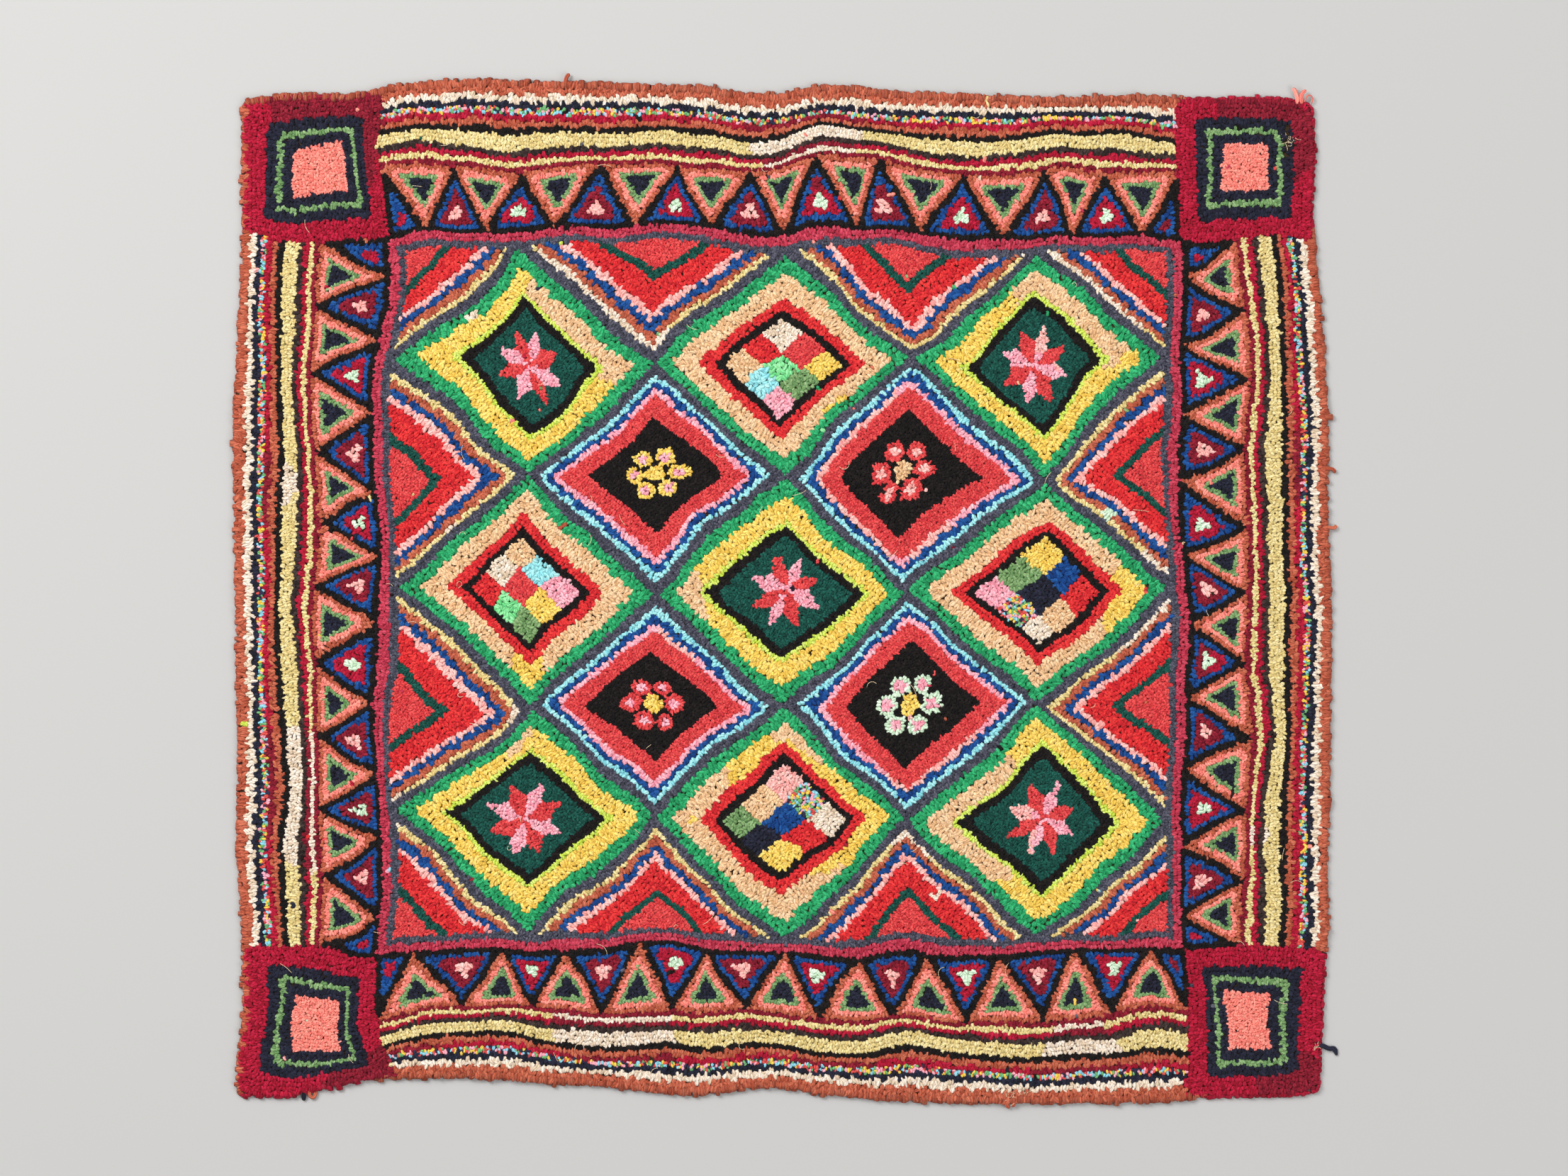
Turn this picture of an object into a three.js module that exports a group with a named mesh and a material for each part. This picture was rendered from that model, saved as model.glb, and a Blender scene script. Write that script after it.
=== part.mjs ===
// Hand-hooked rag rug lying flat: one closed slab with the rug's wavering outline,
// a rounded looped edge and a gently uneven pile. Millimetres, +Z up, underside on Z = 0.
import * as THREE from 'three';

// Driving sizes
const RUG_WIDTH = 1440; // mean distance between the two side edges, along X
const RUG_LENGTH = 1330; // mean distance between the two end edges, along Y
const PILE_HEIGHT = 8.5; // mean height of the loops above the floor
const EDGE_HEIGHT = 4; // upright part of the edge, where the outermost loops turn over
const EDGE_ROUND = 7; // width of the rounded shoulder along the edge
const CORNER_RADIUS = 14;
const GRID_PITCH = 26; // spacing of the surface points away from the edge

// Points across the rounded shoulder, as shares of its width
const SHOULDER_STEPS = [0, 0.1, 0.3, 0.6];

// Wavering edges: `at` is the place along the edge from the rug's middle,
// `out` is how far the edge stands beyond its mean line there.
const FAR_EDGE = [
  { at: -715, out: -10 },
  { at: -655, out: -4 },
  { at: -570, out: -4 },
  { at: -500, out: 9 },
  { at: -420, out: 15 },
  { at: -310, out: 12 },
  { at: -120, out: 7 },
  { at: -46, out: -3 },
  { at: -8, out: -5 },
  { at: 65, out: 8 },
  { at: 180, out: -3 },
  { at: 370, out: -9 },
  { at: 480, out: -6 },
  { at: 555, out: -10 },
  { at: 670, out: -9 },
  { at: 715, out: -16 },
];
const NEAR_EDGE = [
  { at: -715, out: 4 },
  { at: -655, out: 5 },
  { at: -600, out: -7 },
  { at: -535, out: -20 },
  { at: -420, out: -21 },
  { at: -270, out: -12 },
  { at: -120, out: 2 },
  { at: -8, out: -9 },
  { at: 65, out: 2 },
  { at: 140, out: 9 },
  { at: 290, out: 13 },
  { at: 515, out: 11 },
  { at: 560, out: 5 },
  { at: 670, out: 4 },
  { at: 715, out: 0 },
];
const LEFT_EDGE = [
  { at: -635, out: 2 },
  { at: -560, out: -6 },
  { at: -445, out: -5 },
  { at: -335, out: 2 },
  { at: -220, out: 0 },
  { at: -70, out: 3 },
  { at: 115, out: 5 },
  { at: 230, out: 6 },
  { at: 340, out: 0 },
  { at: 455, out: -5 },
  { at: 640, out: -5 },
];
const RIGHT_EDGE = [
  { at: -635, out: -5 },
  { at: -560, out: -1 },
  { at: -485, out: 2 },
  { at: -445, out: 7 },
  { at: -390, out: 4 },
  { at: -220, out: 8 },
  { at: -35, out: 9 },
  { at: 155, out: 4 },
  { at: 230, out: 6 },
  { at: 305, out: 1 },
  { at: 380, out: -3 },
  { at: 455, out: -11 },
  { at: 515, out: -15 },
  { at: 605, out: -11 },
  { at: 640, out: -14 },
];

// Soft unevenness of the pile: puckers where the edge draws in, and flat worn places
const SWELLS = [
  { x: -8, y: 630, reach: 55, rise: 1.4 },
  { x: -8, y: -625, reach: 60, rise: 1.4 },
  { x: -480, y: -600, reach: 110, rise: 1.1 },
  { x: -440, y: 620, reach: 120, rise: 0.9 },
  { x: 640, y: 500, reach: 90, rise: 1.2 },
  { x: 660, y: -440, reach: 80, rise: 0.8 },
  { x: 300, y: -610, reach: 130, rise: 0.8 },
  { x: -650, y: 150, reach: 140, rise: 0.7 },
  { x: 0, y: 60, reach: 260, rise: -0.9 },
  { x: 380, y: 260, reach: 180, rise: 0.6 },
  { x: -330, y: -240, reach: 170, rise: 0.6 },
  { x: 330, y: -330, reach: 190, rise: -0.6 },
  { x: -360, y: 330, reach: 180, rise: -0.7 },
];

const RUG_MATERIAL = new THREE.MeshStandardMaterial({
  color: 0x9a4a3c,
  roughness: 0.95,
  metalness: 0,
});

// Height of a table's edge line at a place along it, eased from row to row
function edgeOut(table, place) {
  const last = table.length - 1;
  if (place <= table[0].at) return table[0].out;
  if (place >= table[last].at) return table[last].out;
  const next = table.findIndex((row) => row.at > place);
  const from = table[next - 1];
  const to = table[next];
  const share = THREE.MathUtils.smoothstep(place, from.at, to.at);
  return THREE.MathUtils.lerp(from.out, to.out, share);
}

// Grid lines from edge to edge: fine across the shoulders, then the corner, then even steps
function gridLines(size) {
  const half = size / 2;
  const shoulder = SHOULDER_STEPS.map((step) => half - step * EDGE_ROUND);
  const inner = half - CORNER_RADIUS;
  const rim = [...shoulder, half - EDGE_ROUND];
  const steps = Math.round((2 * inner) / GRID_PITCH);
  const middle = Array.from({ length: steps + 1 }, (_, i) => -inner + (2 * inner * i) / steps);
  return [...rim.map((line) => -line), ...middle, ...rim.reverse()];
}

// Rounds the plain rectangle's corners by pressing each corner square into a quarter disc
function roundCorner(u, v) {
  const cornerU = RUG_WIDTH / 2 - CORNER_RADIUS;
  const cornerV = RUG_LENGTH / 2 - CORNER_RADIUS;
  const beyondU = Math.abs(u) - cornerU;
  const beyondV = Math.abs(v) - cornerV;
  if (beyondU <= 0 || beyondV <= 0) return [u, v];
  const press = Math.max(beyondU, beyondV) / Math.hypot(beyondU, beyondV);
  return [Math.sign(u) * (cornerU + beyondU * press), Math.sign(v) * (cornerV + beyondV * press)];
}

// Carries a point of the plain rectangle to its place in the real, wavering outline
function drawnPlace(u, v) {
  const [roundU, roundV] = roundCorner(u, v);
  const reachU = (2 * roundU) / RUG_WIDTH;
  const reachV = (2 * roundV) / RUG_LENGTH;
  const sideTable = roundU < 0 ? LEFT_EDGE : RIGHT_EDGE;
  const endTable = roundV < 0 ? NEAR_EDGE : FAR_EDGE;
  const x = roundU + reachU * Math.abs(reachU) * edgeOut(sideTable, roundV);
  const y = roundV + reachV * Math.abs(reachV) * edgeOut(endTable, roundU);
  return [x, y];
}

// Height of the pile over the floor: level, with soft swells, rounded off along the edge
function pileHeight(u, v) {
  const inset = Math.min(RUG_WIDTH / 2 - Math.abs(u), RUG_LENGTH / 2 - Math.abs(v));
  const swell = SWELLS.reduce((sum, row) => {
    const distance = Math.hypot(u - row.x, v - row.y) / row.reach;
    return sum + row.rise * Math.exp(-distance * distance);
  }, 0);
  const shoulder = THREE.MathUtils.clamp(1 - inset / EDGE_ROUND, 0, 1);
  const roundness = Math.sqrt(1 - shoulder * shoulder);
  return EDGE_HEIGHT + (PILE_HEIGHT + swell - EDGE_HEIGHT) * roundness;
}

// Indices of the grid's rim, counter-clockwise seen from above
function rimIndices(columns, rows) {
  const near = Array.from({ length: columns - 1 }, (_, i) => i);
  const right = Array.from({ length: rows - 1 }, (_, j) => j * columns + columns - 1);
  const far = Array.from({ length: columns - 1 }, (_, i) => rows * columns - 1 - i);
  const left = Array.from({ length: rows - 1 }, (_, j) => (rows - 1 - j) * columns);
  return [...near, ...right, ...far, ...left];
}

// The closed slab: pile surface, upright edge and flat underside
function rugGeometry() {
  const linesU = gridLines(RUG_WIDTH);
  const linesV = gridLines(RUG_LENGTH);
  const columns = linesU.length;
  const rows = linesV.length;
  const points = [];
  const triangles = [];

  for (const v of linesV) {
    for (const u of linesU) {
      points.push(new THREE.Vector3(...drawnPlace(u, v), pileHeight(u, v)));
    }
  }
  for (let j = 0; j < rows - 1; j += 1) {
    for (let i = 0; i < columns - 1; i += 1) {
      const a = j * columns + i;
      const b = a + columns;
      triangles.push(a, a + 1, b + 1, a, b + 1, b);
    }
  }

  const rim = rimIndices(columns, rows);
  const floorStart = points.length;
  const outline = rim.map((index) => new THREE.Vector2(points[index].x, points[index].y));
  outline.forEach((corner) => points.push(new THREE.Vector3(corner.x, corner.y, 0)));
  rim.forEach((top, k) => {
    const next = (k + 1) % rim.length;
    const floor = floorStart + k;
    const floorNext = floorStart + next;
    triangles.push(floor, floorNext, rim[next], floor, rim[next], top);
  });
  THREE.ShapeUtils.triangulateShape(outline, []).forEach(([a, b, c]) => {
    triangles.push(floorStart + c, floorStart + b, floorStart + a);
  });

  const geometry = new THREE.BufferGeometry().setFromPoints(points);
  geometry.setIndex(triangles);
  return geometry;
}

// Puts the middle of the slab's box over the origin
function centred(geometry) {
  geometry.computeBoundingBox();
  const middle = geometry.boundingBox.getCenter(new THREE.Vector3());
  geometry.translate(-middle.x, -middle.y, 0);
  geometry.computeVertexNormals();
  return geometry;
}

const rug = new THREE.Mesh(centred(rugGeometry()), RUG_MATERIAL);
rug.name = 'hooked_rug';

const part = new THREE.Group();
part.name = 'hooked_rug_part';
part.add(rug);

export default part;
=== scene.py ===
"""Hand-hooked rag rug lying flat: burlap foundation, rag loops, edge strips and loose ends."""

import math
from collections import namedtuple

import bpy
import numpy as np
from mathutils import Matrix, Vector
from mathutils.bvhtree import BVHTree
from mathutils.kdtree import KDTree


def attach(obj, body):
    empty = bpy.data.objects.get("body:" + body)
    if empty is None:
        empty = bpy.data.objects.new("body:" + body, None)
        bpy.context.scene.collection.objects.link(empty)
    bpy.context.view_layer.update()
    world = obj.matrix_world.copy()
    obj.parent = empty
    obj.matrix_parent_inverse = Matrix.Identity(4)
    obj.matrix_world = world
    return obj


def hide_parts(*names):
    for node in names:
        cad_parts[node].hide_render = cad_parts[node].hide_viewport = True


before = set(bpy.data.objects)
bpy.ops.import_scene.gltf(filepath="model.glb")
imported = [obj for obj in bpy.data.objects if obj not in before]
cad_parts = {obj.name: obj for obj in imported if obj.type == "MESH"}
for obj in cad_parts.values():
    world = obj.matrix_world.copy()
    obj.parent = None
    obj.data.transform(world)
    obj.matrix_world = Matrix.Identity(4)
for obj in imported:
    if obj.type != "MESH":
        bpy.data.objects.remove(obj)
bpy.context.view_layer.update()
rng = np.random.default_rng(11)

# Sizes are in millimetres until a mesh is made
MM = 0.001
RUG = "hooked_rug"
BODY = "root"
FLAT_WIDTH = 1440.0
FLAT_LENGTH = 1330.0
HALF = np.array([FLAT_WIDTH / 2, FLAT_LENGTH / 2])

# Rag strips: shades from dark to light, loop size across and along its row
Rag = namedtuple("Rag", "shades across along flecked")
FINE = (4.4, 3.5)
MEDIUM = (6.7, 4.5)
FAT = (8.0, 5.3)


def rag(size, *shades, flecked=False):
    """One kind of rag strip, from its loop size and its shades."""
    return Rag(shades, size[0], size[1], flecked)


RAGS = {
    "brick": rag(MEDIUM, "#a24932", "#b95c43", "#c76d52"),
    "cream": rag(MEDIUM, "#d6bea2", "#ead6c0", "#f3e5d5"),
    "navy": rag(MEDIUM, "#171722", "#1e2030", "#282a3c"),
    "crimson": rag(MEDIUM, "#900c24", "#aa1230", "#bc1c3c"),
    "wine": rag(MEDIUM, "#6f1022", "#84162a", "#961f32"),
    "raspberry": rag(MEDIUM, "#a4283e", "#bc364c", "#cb475c"),
    "red": rag(MEDIUM, "#c01f28", "#d82c30", "#e63c3a"),
    "coral": rag(FINE, "#c43238", "#da4244", "#e65452"),
    "salmon": rag(FINE, "#ec7468", "#f88a7c", "#fb9c8c"),
    "pink": rag(MEDIUM, "#ec8c9e", "#f8a8b6", "#fabcc6"),
    "blush": rag(FAT, "#f09a94", "#f7b2aa", "#fac6be"),
    "black": rag(FINE, "#0c0808", "#151010", "#201a18"),
    "brown": rag(MEDIUM, "#261c1a", "#362a27", "#473935"),
    "bottle": rag(FINE, "#0c3c34", "#124c42", "#1c5c50"),
    "emerald": rag(FAT, "#1c8450", "#28a063", "#38b272"),
    "mint": rag(FAT, "#62c87c", "#80dc92", "#9ae8a6"),
    "celadon": rag(FAT, "#b9d6b4", "#d0e8ca", "#e0f2dc"),
    "sage": rag(MEDIUM, "#5f8550", "#789c64", "#8eae78"),
    "yellow": rag(MEDIUM, "#e2b548", "#f4cc5e", "#f9da78"),
    "straw": rag(MEDIUM, "#cfb673", "#e2cc8a", "#eedca4"),
    "tan": rag(MEDIUM, "#d9a878", "#ebc092", "#f3cfa6"),
    "royal": rag(FAT, "#0c3470", "#134688", "#205698"),
    "sky": rag(FAT, "#7cc8d2", "#96dce0", "#aee8e8"),
    "slate": rag(FINE, "#383844", "#4a4a58", "#5e5e6c"),
    "lime": rag(MEDIUM, "#b6cc3e", "#cce058", "#daea78"),
    "calico": rag(
        FINE, "#f0c850", "#f4a8b8", "#6fae70", "#2a2c44", "#8ccfe0", "#d6504a", flecked=True
    ),
}

# Plain stripes from the edge inwards: rag and width. They lie further out along the two sides.
EDGE_WIDTH = 8.0
OUTER_STRIPES = [
    ("brick", 8.5),
    ("cream", 9.5),
    ("navy", 7.5),
    ("calico", 4.5),
    ("crimson", 8.5),
    ("brick", 8.5),
    ("black", 5.5),
    ("straw", 17.0),
    ("brown", 6.5),
    ("crimson", 8.5),
    ("straw", 4.5),
    ("wine", 6.5),
]
SIDE_SHIFT = 4.0
INNER_STRIPES = [("raspberry", 14.0), ("slate", 7.0)]
OUTER_WIDTH = EDGE_WIDTH + sum(width for _, width in OUTER_STRIPES)
CORNER_SIZE = 190.0
FIELD_INSET = CORNER_SIZE + sum(width for _, width in INNER_STRIPES)

# Corner squares: side, end, and how far inside the two edges they start
CORNERS = [(-1, -1, 8.0, 3.5), (1, -1, 4.0, 5.0), (1, 1, 4.0, 3.0), (-1, 1, 8.0, EDGE_WIDTH)]

# Nested bands of each patch, from its outline to its middle; the last one fills what is left
FILL = None
CORNER_BANDS = [("crimson", 24.0), ("navy", 15.0), ("sage", 6.0), ("navy", 14.0), ("salmon", FILL)]
OUT_TOOTH_BANDS = [("brick", 7.0), ("salmon", 6.0), ("sage", 4.5), ("navy", FILL)]
IN_TOOTH_BANDS = [
    [("black", 5.0), ("royal", 8.0), ("crimson", 6.5), ("celadon", FILL)],
    [("black", 5.0), ("royal", 8.0), ("wine", 6.0), ("blush", FILL)],
]
STAR_BANDS = [("emerald", 17.0), ("yellow", 23.0), ("lime", 5.0), ("black", 11.0), ("bottle", FILL)]
MOSAIC_BANDS = [("emerald", 17.0), ("tan", 23.0), ("red", 13.0), ("black", FILL)]
ROSETTE_BANDS = [
    ("slate", 9.0), ("sky", 7.0), ("royal", 9.0), ("pink", 8.0), ("coral", 20.0), ("black", FILL),
]
SIDE_BANDS = [
    ("slate", 9.0), ("straw", 7.0), ("brick", 8.0), ("royal", 9.0), ("blush", 9.0), ("red", 26.0),
    ("bottle", 9.0), ("coral", FILL),
]

# Sizes and rags of the teeth and of the motifs in the diamonds
TOOTH_BASE = 96.0
CORE_SHARE = 0.47
STAR_SIDE = 29.0
STAR_RAGS = ["coral", "pink"]
PETAL_RADIUS = 14.0
PETAL_SPREAD = 2.05
PETAL_RIM = 5.5
PETAL_RAGS = ["coral", "celadon", "yellow"]
MOSAIC_RAGS = [
    "red", "sky", "yellow", "navy", "cream", "mint", "pink", "royal", "tan", "coral", "sage", "calico",
]

# A rag that runs out is followed by its next best
NEXT_BEST = {"yellow": "tan", "straw": "cream", "crimson": "wine", "tan": "yellow", "pink": "blush"}
RUN_OUT = 0.75
RUN_OUT_LENGTH = 330.0
STRAY_SHARE = 0.002

# Small repairs in another rag: place, reach and rag
REPAIRS = [
    ((-425, 362), 8.0, "cream"),
    ((-118, -305), 6.0, "yellow"),
    ((428, 96), 7.0, "celadon"),
    ((205, -402), 6.0, "cream"),
    ((60, 210), 5.0, "mint"),
]

# Hand-drawn waver of the pattern's lines
WAVES = [
    {"length": 280.0, "sway": 4.5},
    {"length": 130.0, "sway": 2.0},
    {"length": 60.0, "sway": 0.7},
]
WAVE_SPREAD = (0.8, 1.3)
WAVER_FADE = 70.0

# Setting of the loops along their rows
THINNEST_ROW = 2.0
UNEVEN_SPACING = 0.1
UNEVEN_PLACE = 0.7
SHORTEST_SHARE = 0.8
LOOP_CLEARANCE = 0.56

# Filling of bare places: step of the search, least distance to a loop, and inset of the rim left alone
GAP_STEP = 2.0
GAP_SHARE = 0.62
GAP_INSET = 5.0

# Room between neighbours: how squarely one faces another, and least and most shares of the usual room
NEIGHBOURS = 10
FACING_SHARE = 0.9
ROOM_LEAST = 0.7
ROOM_MOST = 1.35
SETTLE_SHARE = 0.125

# Forms of the loops
LOOP_FORMS = 48
LOOP_LOW = 6
LOOP_HIGH = 2
LOOP_POINTS = LOOP_LOW + LOOP_HIGH
LOOP_SKEW = 0.15
LOOP_RADII = (0.92, 1.1)
LOOP_TOP_SHARE = 0.58
LOOP_SHALLOWEST = 1.8
LOOP_DEEPEST = 3.7
RIDGE_DEEPEST = 0.5

# Variety of the loops: sizes in shares, turns in radians, longer ones turned less
LOOP_OVERLAP = 2.2
LOOP_STRETCH = 0.06
UNEVEN_STRETCH = 0.12
LOOP_SIZES = (0.9, 1.15)
LOOP_TURN = 0.55
TURN_EASE = 2.0
LEAST_TURN = 0.3
LOOP_RISE = 0.2
UNEVEN_RISE = 0.45
RIDGE_LEAN = 0.4
CREASE_PITCH = 3.8

# Triangles of a loop: six low corners, then the two ends of its ridge
LOOP_FACES = np.array([
    (0, 1, 6), (1, 2, 6), (2, 3, 6), (6, 3, 7), (3, 4, 7), (4, 5, 7), (5, 0, 7), (7, 0, 6),
])

# Foundation cloth
CLOTH_PITCH = 24.0
CLOTH_INSET = 4.0
CLOTH_BOTTOM = 0.4
CLOTH_DEPTH = 4.4
CLOTH_THINNEST = 2.0

# Edge strips: their sizes, with least and most shares of them
STRIP_CORNERS = 6
STRIP_PITCH = 4.6
STRIP_HALF_WIDTH = 3.4
STRIP_WIDTHS = (0.8, 1.25)
SECTION_WIDTHS = (0.85, 1.1)
STRIP_THICKNESSES = (0.8, 1.15)
STRIP_REACHES = (0.75, 1.3)
STRIP_CREASES = 0.8
UNEVEN_PITCH = 0.2
UNEVEN_HEIGHT = 0.08
UNEVEN_SLANT = 1.8
LOOK_AHEAD = 4.0
TUCK_SHARE = 0.6
FULL_REACH = 9.0
LOWEST_SHARE = 0.7

# Path of a strip from below the edge onto the pile: inset, height and half thickness.
# At its end, the insets are shares of its reach.
STRIP_START = [(6.0, 0.7, 0.4), (1.8, 0.9, 0.6), (0.8, 2.6, 1.4), (1.6, 4.8, 1.7), (3.8, 6.6, 1.9)]
STRIP_END = [(0.65, 7.4, 1.9), (1.0, 5.8, 1.2)]

# Painted shade along that path: the share of the rag's colour kept, from 0, darkest, to 1, unshaded
STRIP_PAINTED_SHADE = [0.2, 0.3, 0.4, 0.5, 0.6, 0.5, 0.2]

# Bulges of the strips, and the few that stand proud
BULGE = 0.5
UNEVEN_BULGE = 1.4
PROUD_BULGE = 2.5
PROUD_SHARE = 0.06

# Long strips get deeper painted shade, and where the reach is shorter than this the brick strips end
STRIP_SHADE_BY_REACH = [(6.5, 1.0), (8.5, 0.4)]
BARE_REACH = 4.6

# How far the strips reach in from each edge, by the place along it
REACH_FAR = [(520, 9.0), (545, 3.0)]
REACH_NEAR = [(-545, 3.5), (-520, 8.5), (530, 8.5), (560, 4.5)]
REACH_LEFT = [(0, 5.5)]
REACH_RIGHT = [(-490, 3.5), (-465, 6.5), (465, 6.5), (490, 3.5)]

# Worn place: a split between two rows, where the foundation shows
SPLIT = np.array([(671.0, 618.0), (667.0, 575.0)])
SPLIT_REACH = 2.8

# Loose strip ends: rag, half width, half thickness and the points they pass
LOOSE_ENDS = [
    ("salmon", 2.9, 1.2, [(683, 646, 6.0), (682, 654, 8.0), (680, 661, 7.5), (677, 667, 6.0)]),
    ("salmon", 2.6, 1.2, [(688, 646, 6.0), (687, 654, 8.5), (689, 660, 8.5), (694, 664, 6.5)]),
    ("salmon", 1.0, 0.9, [
        (692, 648, 6.0), (695, 656, 6.5), (700, 657, 5.5), (703, 652, 4.0), (701, 645, 3.0),
    ]),
    ("navy", 3.2, 0.9, [
        (706, -601, 6.5), (716, -602, 5.5), (725, -606, 3.5), (732, -606, 2.6), (735, -615, 2.0),
    ]),
    ("navy", 3.2, 1.0, [(-634, -655, 6.5), (-634, -664, 5.0), (-634, -675, 2.6)]),
    ("brick", 2.4, 1.1, [(-627, -655, 5.0), (-626, -668, 4.5), (-620, -670, 3.5), (-617, -656, 4.0)]),
    ("brick", 2.8, 1.3, [(300, -668, 7.5), (297, -678, 7.0), (301, -685, 4.0)]),
    ("brick", 2.6, 1.3, [(306, -668, 8.0), (307, -678, 7.0), (305, -683, 4.5)]),
    ("brick", 2.6, 1.3, [(371, -664, 7.0), (370, -675, 6.0), (375, -679, 4.0)]),
    ("brick", 2.6, 1.3, [(-288, 668, 7.5), (-286, 680, 6.5), (-282, 686, 4.0)]),
    ("brick", 2.4, 1.2, [(716, 163, 6.5), (729, 162, 5.0), (733, 157, 3.0)]),
    ("brick", 2.4, 1.2, [(718, 86, 6.5), (731, 84, 5.0), (734, 88, 3.0)]),
]
STRAND_SECTIONS = 12
STRAND_TAPER = [0.85, 0.45]

# Loose fibres: burlap ends at worn places, by middle, spread and number, and stray ones all over
FRAYS = [((300, -668), 9.0, 14), ((318, -660), 8.0, 10), ((669, 597), 11.0, 12), ((708, -603), 6.0, 5)]
FRAY_LENGTHS = (5, 12)
FRAY_HEIGHTS = (6.5, 9.5)
STRAY_FIBRES = 70
STRAY_LENGTHS = (7, 22)
STRAY_HEIGHTS = (9.0, 10.5)
STRAY_INSET = 30.0
FIBRE_RADIUS = 0.3
FIBRE_POINTS = 5
FIBRE_CURL = 0.9

# Finishes: all cloth
CLOTH_GLOSS = 0.15
SHEEN_ROUGHNESS = 0.5

# Finishes: rag loops
RAG_ROUGHNESS = 0.9
RAG_SHEEN = 0.05
# Painted shade towards each loop's root: the lowest share of the colour kept there
ROOT_SHADE = 0.55
# Painted shade in the crease valleys: the lowest share of the colour kept there
FOLD_SHADE = 0.78
FOLD_DEPTH = 0.0009
FOLD_WANDER = 0.8
FOLD_NOISE = 160.0

# Finishes: burlap
BURLAP_ROUGHNESS = 0.95
BURLAP_SHEEN = 0.1
BURLAP_THREADS = 100.0
BURLAP_SWAY = 1.5
BURLAP_PATCHES = 60.0
BURLAP_SHADE = 0.4
BURLAP_BUMP = 0.8
BURLAP_DEPTH = 0.0008
FIBRE_SHADES = ["#d9b88a", "#efe0c4"]
# Burlap colour, darkened well below its own tan as painted shade for where it lies under the pile
BURLAP_PAINTED_SHADE_TONES = ["#33251a", "#4a3724"]

# Studio, in metres and watts: name, place, size and power of each light
LIGHTS = [
    ("key", (-4.2, 3.2, 4.8), 3.2, 560),
    ("fill", (4.5, -2.6, 4.8), 4.2, 246),
    ("back", (0.6, 5.1, 5.1), 3.8, 137),
]
SKY_STRENGTH = 0.48
FLOOR_HALF = 9.0
FLOOR_SHADE = (0.4, 0.395, 0.387, 1)
FLOOR_ROUGHNESS = 0.8


class Waves:
    """Smooth random height over the rug, from a few crossing waves."""

    def __init__(self, length, count=5):
        angle = rng.uniform(0, 2 * math.pi, count)
        pace = 2 * math.pi / (length * rng.uniform(*WAVE_SPREAD, count))
        self.pace = np.column_stack([np.cos(angle), np.sin(angle)]) * pace[:, None]
        self.phase = rng.uniform(0, 2 * math.pi, count)
        self.share = math.sqrt(2 / count)

    def at(self, points):
        return np.sin(points @ self.pace.T + self.phase).sum(1) * self.share


SWAYS = [(row["sway"], Waves(row["length"]), Waves(row["length"])) for row in WAVES]
RUN_OUT_WAVES = Waves(RUN_OUT_LENGTH)


def inset_of(points):
    """How far inside the plain rectangle's edge each point lies."""
    return (HALF - np.abs(points)).min(1)


def wavered(points):
    """Moves pattern points a little, so that lines waver as hand-drawn ones do."""
    fade = np.clip(inset_of(points) / WAVER_FADE, 0, 1)
    moved = points.copy()
    for sway, waves_x, waves_y in SWAYS:
        moved[:, 0] += sway * fade * waves_x.at(points)
        moved[:, 1] += sway * fade * waves_y.at(points)
    return moved


# Outline and pile height, read from the solid
FLOOR_LEVEL = 0.01
EDGE_TOP = 5.0
node_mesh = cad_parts[RUG].data
node_points = np.array([v.co for v in node_mesh.vertices]) / MM
floor_points = node_points[node_points[:, 2] < FLOOR_LEVEL][:, :2]
floor_points = np.unique(np.round(floor_points, 3), axis=0)
ring_angle = np.arctan2(floor_points[:, 1], floor_points[:, 0])
RING = floor_points[np.argsort(ring_angle)]
RING_ANGLE = np.sort(ring_angle)
RING_RATIO = 1 / (np.abs(RING) / HALF).max(1)
solid_tree = BVHTree.FromPolygons(
    [v.co[:] for v in node_mesh.vertices], [tuple(p.vertices) for p in node_mesh.polygons]
)


def to_outline(points):
    """Carries points of the plain rectangle into the rug's real, wavering outline."""
    angle = np.arctan2(points[:, 1], points[:, 0])
    ratio = 1 / np.interp(angle, RING_ANGLE, RING_RATIO, period=2 * math.pi)
    square = (np.abs(points) / HALF).max(1)
    return points * (1 + (ratio - 1) * square**2)[:, None]


def pile_top(points):
    """Height of the solid's upper face over each point."""
    tops = np.full(len(points), EDGE_TOP)
    down = Vector((0, 0, -1))
    for i, (x, y) in enumerate(points * MM):
        place = solid_tree.ray_cast(Vector((x, y, 1)), down)[0]
        if place is not None:
            tops[i] = place.z / MM
    return tops


# Pattern patches
Patch = namedtuple("Patch", "corners centre reach bands")
Row = namedtuple("Row", "ring rag width")


def cross(a, b):
    """Signed area between pairs of flat vectors."""
    return a[..., 0] * b[..., 1] - a[..., 1] * b[..., 0]


def patch(corners, bands):
    """A patch whose rows follow its outline inwards to one middle point."""
    corners = np.array(corners, float)
    if cross(corners, np.roll(corners, -1, 0)).sum() < 0:
        corners = corners[::-1]
    centre = corners.mean(0)
    if len(corners) == 3:
        facing = np.linalg.norm(np.roll(corners, -1, 0) - np.roll(corners, -2, 0), axis=1)
        centre = facing @ corners / facing.sum()
    side = corners[1] - corners[0]
    reach = cross(side, centre - corners[0]) / np.linalg.norm(side)
    return Patch(corners, centre, reach, bands)


def diamond(centre, half_diagonals, bands):
    """A diamond-shaped patch."""
    across, along = half_diagonals
    spokes = np.array([(across, 0), (0, along), (-across, 0), (0, -along)])
    return patch(np.array(centre) + spokes, bands)


def disc(centre, radius, bands, sides=10):
    """A round patch, as a polygon with even sides."""
    angle = np.arange(sides) * 2 * math.pi / sides
    return patch(np.array(centre) + radius * np.column_stack([np.cos(angle), np.sin(angle)]), bands)


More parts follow.
